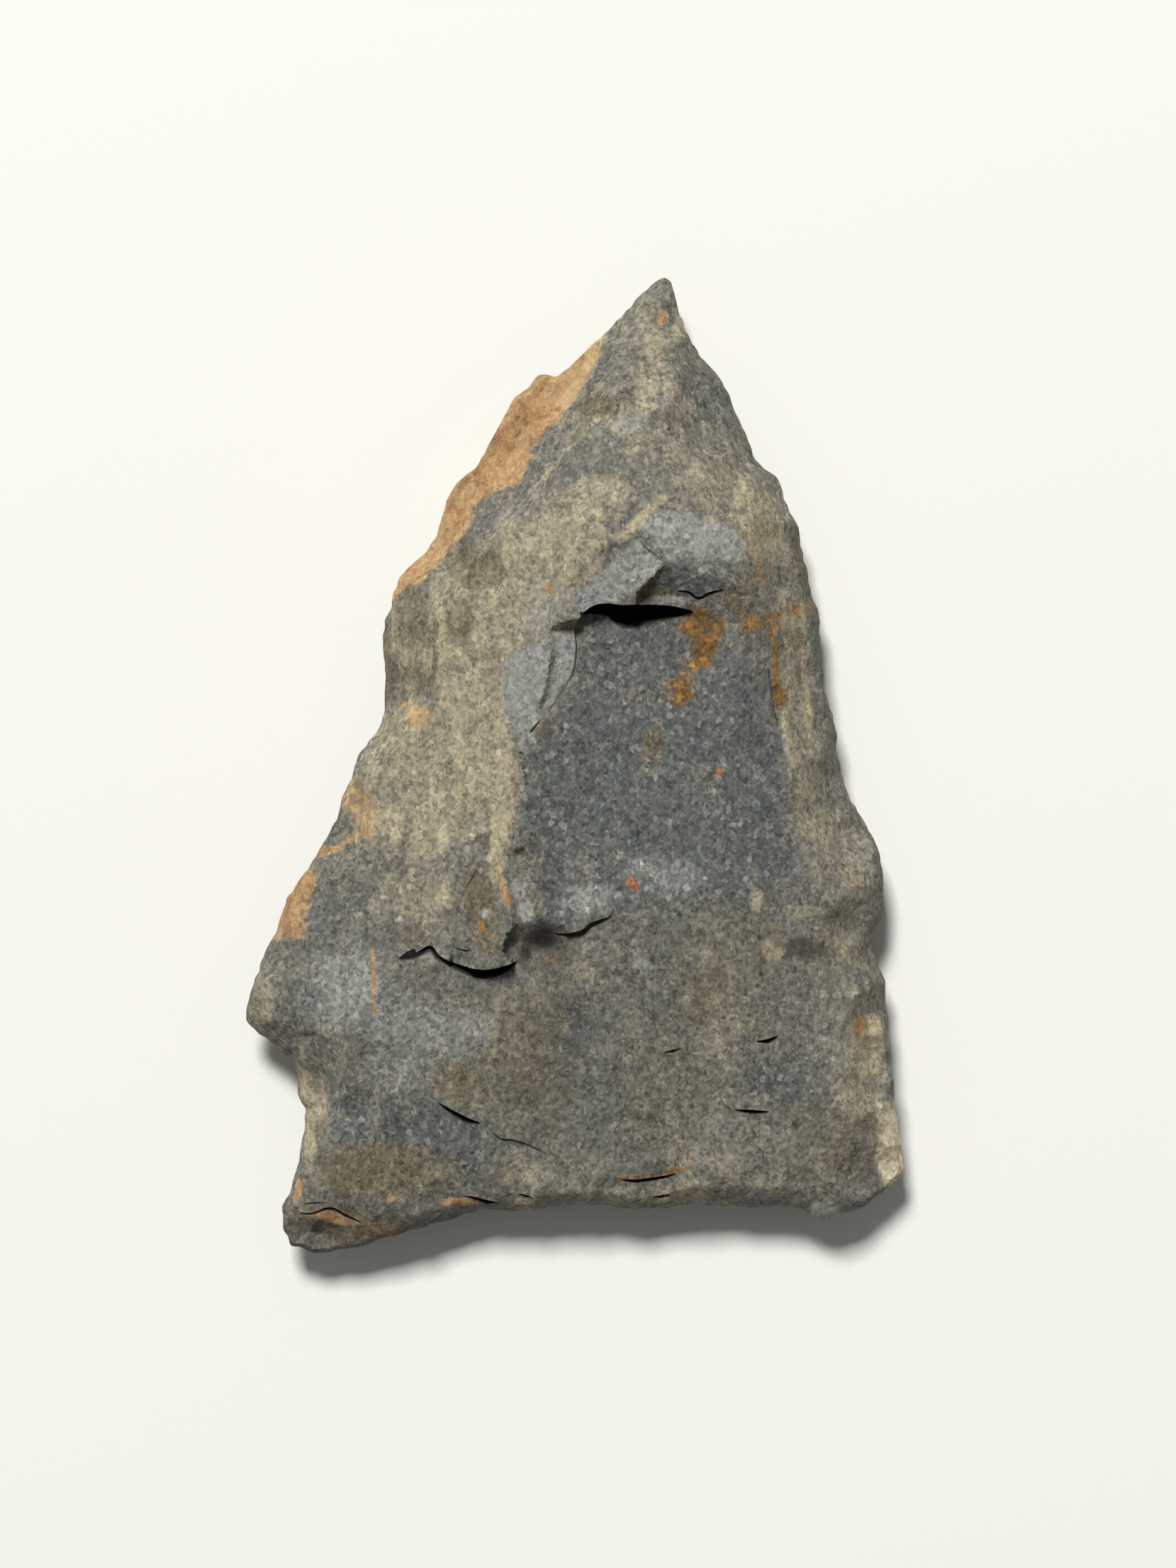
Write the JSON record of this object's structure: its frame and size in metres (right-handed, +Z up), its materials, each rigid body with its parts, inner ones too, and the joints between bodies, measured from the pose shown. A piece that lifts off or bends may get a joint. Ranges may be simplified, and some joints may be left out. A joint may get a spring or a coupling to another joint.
{
  "type": "stone projectile point",
  "caption": "Knapped stone projectile point with a flaked blade, a sharp offset tip, a barbed shoulder and a wide hollow base.",
  "frame": {"origin": "middle of the outline's box, on the surface that the point lies on", "axes": "+Y along the length to the tip, +X to the right edge seen from above, +Z up through the thickness"},
  "size_m": [0.031, 0.046, 0.0079],
  "materials": {
    "weathered_stone": "matt fine-grained grey stone with tan weathering, ochre rind and rust stains"
  },
  "bodies": {
    "root": {"stone_point": "weathered_stone"}
  },
  "joints": []
}
